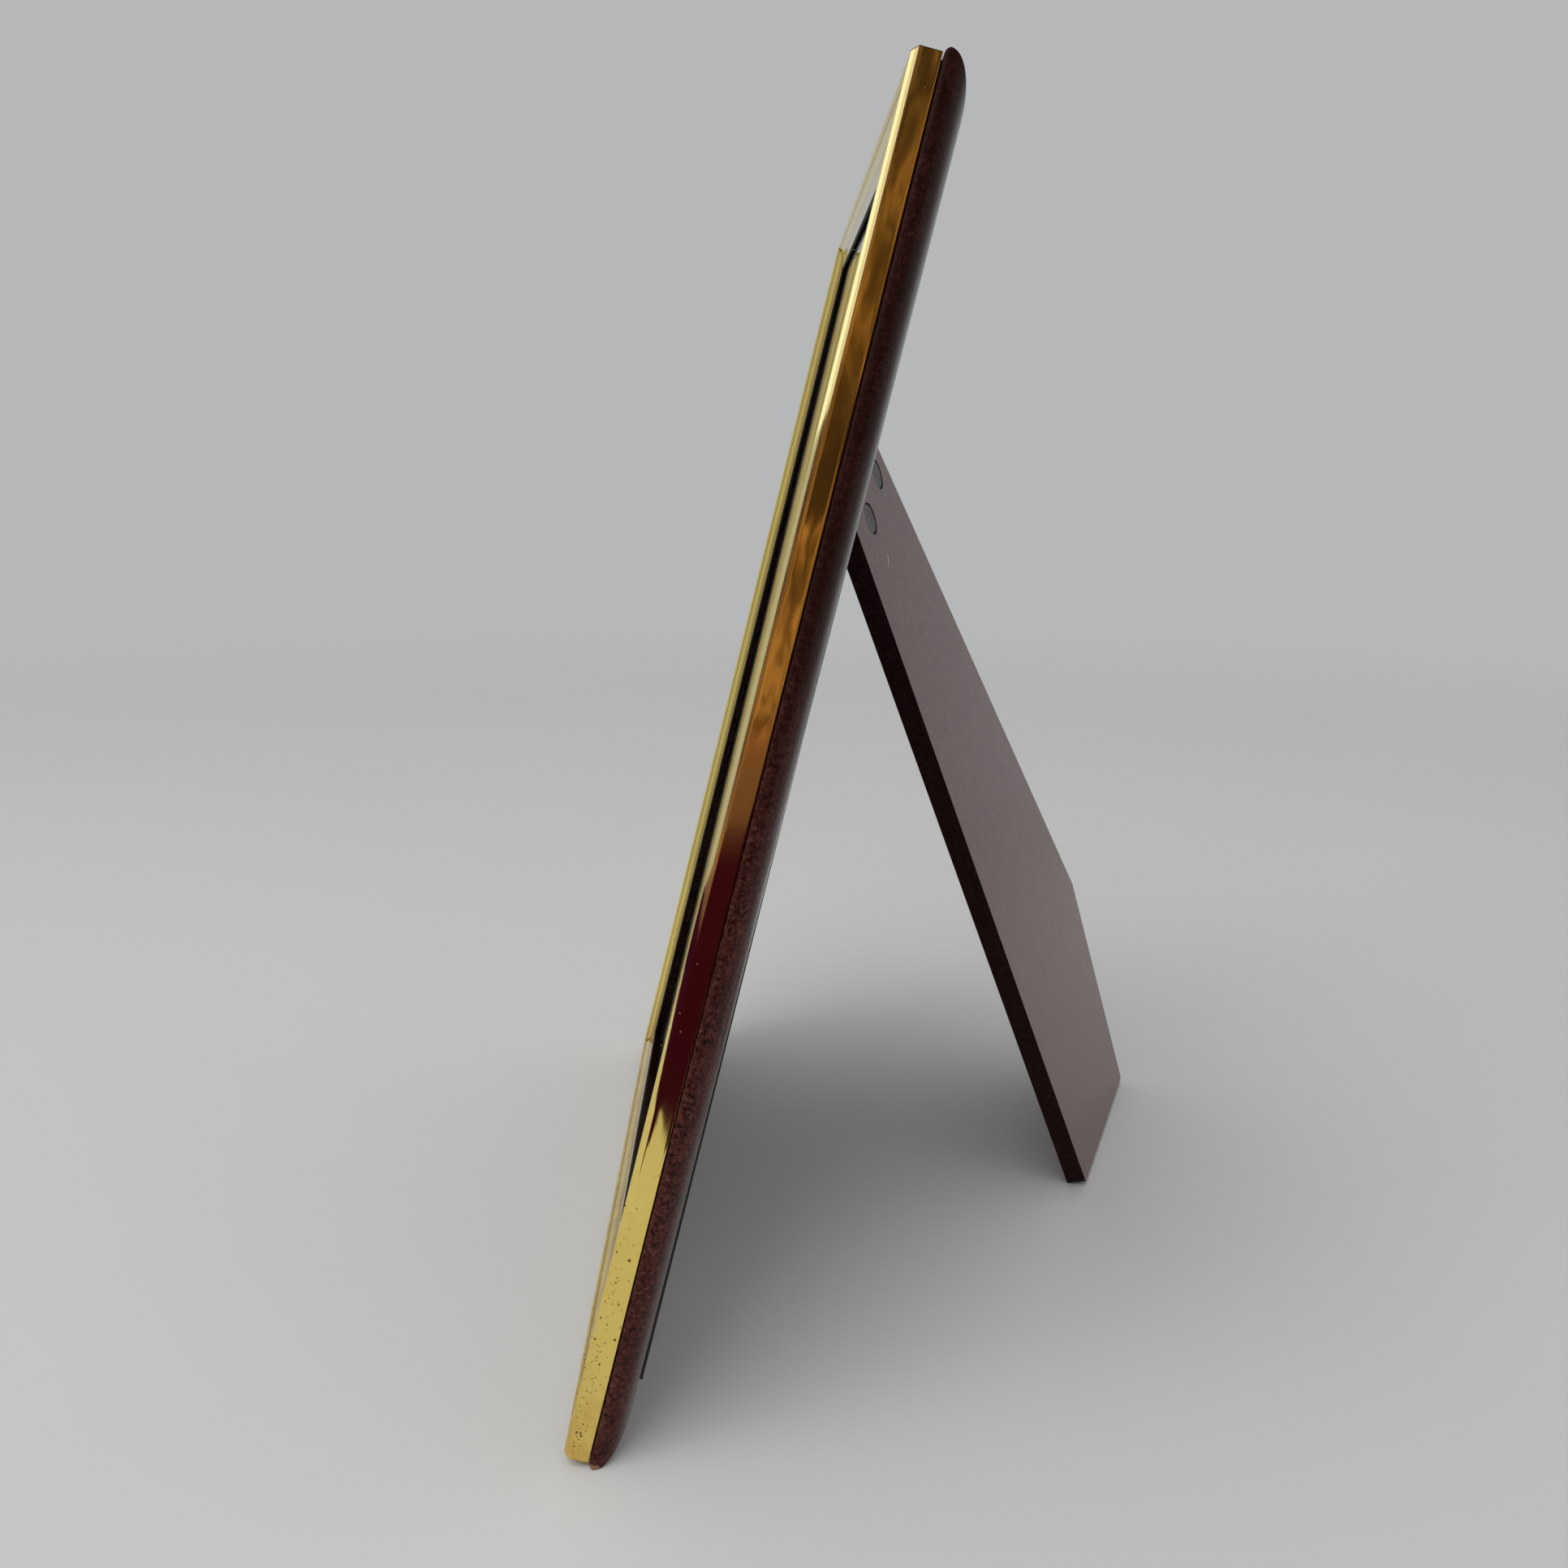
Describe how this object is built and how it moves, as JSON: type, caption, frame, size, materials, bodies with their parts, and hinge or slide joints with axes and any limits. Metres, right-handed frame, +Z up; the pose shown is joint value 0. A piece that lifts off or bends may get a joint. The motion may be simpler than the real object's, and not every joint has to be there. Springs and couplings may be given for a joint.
{
  "type": "photo frame",
  "caption": "Upright photo frame with a mitred brass front, a lacquered wooden back frame, glass, a rear panel and a folding easel leg on an oblique hinge.",
  "frame": {"origin": "middle of the object's box, on the table it stands on", "axes": "+X across the frame to the right seen from the front, +Y from the picture side to the back, +Z up"},
  "size_m": [0.2302, 0.1644, 0.2744],
  "materials": {
    "brass_front": "polished brass, tarnished and pitted in places",
    "burgundy_wood": "burgundy lacquer over wood, satin to glossy",
    "leg_lacquer": "glossy brown lacquer, raw dark edges",
    "glass": "clear polished glass",
    "black_card": "matt black card",
    "grey_board": "plain grey board",
    "black_panel": "black painted hardboard",
    "stamped_brass": "dull stamped brass",
    "rivet_steel": "dull grey flush heads",
    "dull_steel": "dull plated steel"
  },
  "bodies": {
    "frame": {"back_panel": "black_panel", "brass_rail_bottom": "brass_front", "brass_rail_left": "brass_front", "brass_rail_right": "brass_front", "brass_rail_top": "brass_front", "filler_board": "grey_board", "glass_pane": "glass", "hinge_leaf_panel": "dull_steel", "hinge_pin": "dull_steel", "panel_rivet_1": "dull_steel", "panel_rivet_2": "dull_steel", "photo_card": "black_card", "turn_button_1_screw": "dull_steel", "turn_button_2_screw": "dull_steel", "turn_button_3_screw": "dull_steel", "turn_button_4_screw": "dull_steel", "wood_rail_bottom": "burgundy_wood", "wood_rail_left": "burgundy_wood", "wood_rail_right": "burgundy_wood", "wood_rail_top": "burgundy_wood"},
    "leg": {"easel_leg": "leg_lacquer", "hinge_leaf_leg": "dull_steel", "leg_rivet_1": "rivet_steel", "leg_rivet_2": "rivet_steel"},
    "turn_button_1": {"turn_button_1": "stamped_brass"},
    "turn_button_2": {"turn_button_2": "stamped_brass"},
    "turn_button_3": {"turn_button_3": "stamped_brass"},
    "turn_button_4": {"turn_button_4": "stamped_brass"}
  },
  "joints": [
    {"name": "leg_hinge", "type": "hinge", "parent": "frame", "child": "leg", "pos_m": [0.0075, -0.02211, 0.20171], "axis": [0.8179, -0.1312, -0.5601], "range_deg": [-35.9, 0]},
    {"name": "turn_button_1_swivel", "type": "hinge", "parent": "frame", "child": "turn_button_1", "pos_m": [-0.055, -0.00777, 0.26244], "axis": [0, 0.9726, -0.2326], "continuous": true},
    {"name": "turn_button_2_swivel", "type": "hinge", "parent": "frame", "child": "turn_button_2", "pos_m": [0.055, -0.00777, 0.26244], "axis": [0, 0.9726, -0.2326], "continuous": true},
    {"name": "turn_button_3_swivel", "type": "hinge", "parent": "frame", "child": "turn_button_3", "pos_m": [0.045, -0.06839, 0.00899], "axis": [0, 0.9726, -0.2326], "continuous": true},
    {"name": "turn_button_4_swivel", "type": "hinge", "parent": "frame", "child": "turn_button_4", "pos_m": [-0.1046, -0.03129, 0.16411], "axis": [0, 0.9726, -0.2326], "continuous": true}
  ]
}
